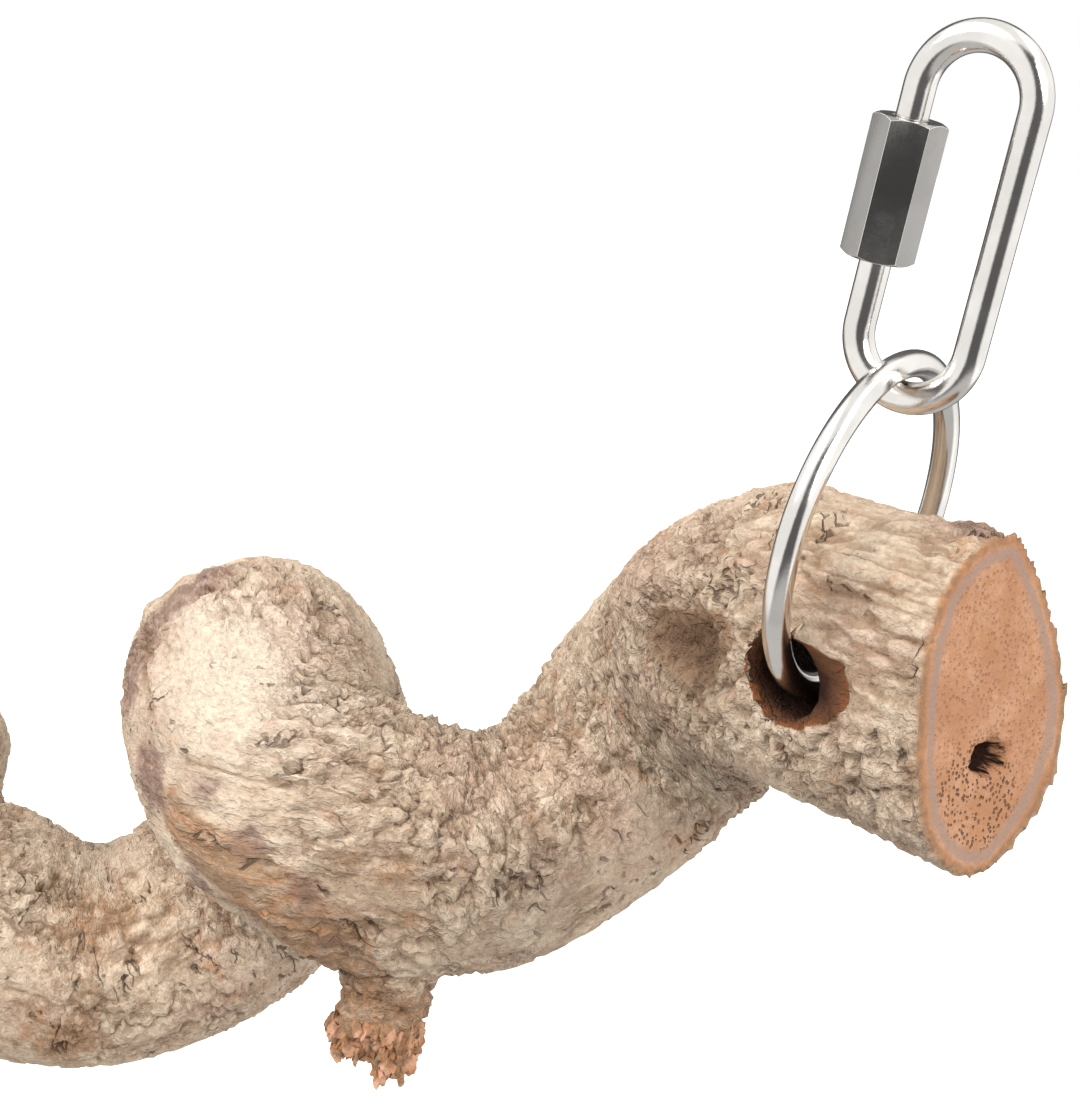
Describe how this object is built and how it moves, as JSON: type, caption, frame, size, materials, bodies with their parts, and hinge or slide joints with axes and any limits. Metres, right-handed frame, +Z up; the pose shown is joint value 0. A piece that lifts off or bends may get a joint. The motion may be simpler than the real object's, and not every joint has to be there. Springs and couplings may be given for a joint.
{
  "type": "hanging bird perch",
  "caption": "Length of natural corkscrew vine that hangs level as a bird perch, with a welded ring and a screw-gate quick link at each end.",
  "frame": {"origin": "inside of the right-hand quick link's top bow, where whatever carries the perch bears", "axes": "+X along the perch to its right end, +Z up, +Y to the back"},
  "size_m": [0.3698, 0.0697, 0.1572],
  "materials": {
    "vine_wood": "rough natural bark, sawn ends",
    "plated_steel": "bright nickel plate"
  },
  "bodies": {
    "vine": {"vine": "vine_wood"},
    "right_ring": {"right_ring": "plated_steel"},
    "left_ring": {"left_ring": "plated_steel"},
    "right_link": {"right_link": "plated_steel"},
    "left_link": {"left_link": "plated_steel"},
    "right_nut": {"right_nut": "plated_steel"},
    "left_nut": {"left_nut": "plated_steel"}
  },
  "joints": [
    {"name": "right_ring_swing", "type": "hinge", "parent": "vine", "child": "right_ring", "pos_m": [-0.01554, 0, -0.06472], "axis": [0, -1, 0], "range_deg": [-60, 28]},
    {"name": "right_link_swing", "type": "hinge", "parent": "right_ring", "child": "right_link", "pos_m": [-0.00849, 0, -0.03535], "axis": [0.9724, 0, -0.2334], "range_deg": [-85, 85]},
    {"name": "right_nut_travel", "type": "slide", "parent": "right_link", "child": "right_nut", "axis": [-0.2334, 0, -0.9724], "range_m": [0, 0.0067]},
    {"name": "left_ring_swing", "type": "hinge", "parent": "vine", "child": "left_ring", "pos_m": [-0.3371, 0.007, -0.06392], "axis": [0, 1, 0], "range_deg": [-60, 28]},
    {"name": "left_link_swing", "type": "hinge", "parent": "left_ring", "child": "left_link", "pos_m": [-0.34415, 0.007, -0.03455], "axis": [-0.9724, 0, -0.2334], "range_deg": [-85, 85]},
    {"name": "left_nut_travel", "type": "slide", "parent": "left_link", "child": "left_nut", "axis": [0.2334, 0, -0.9724], "range_m": [0, 0.0067]}
  ]
}
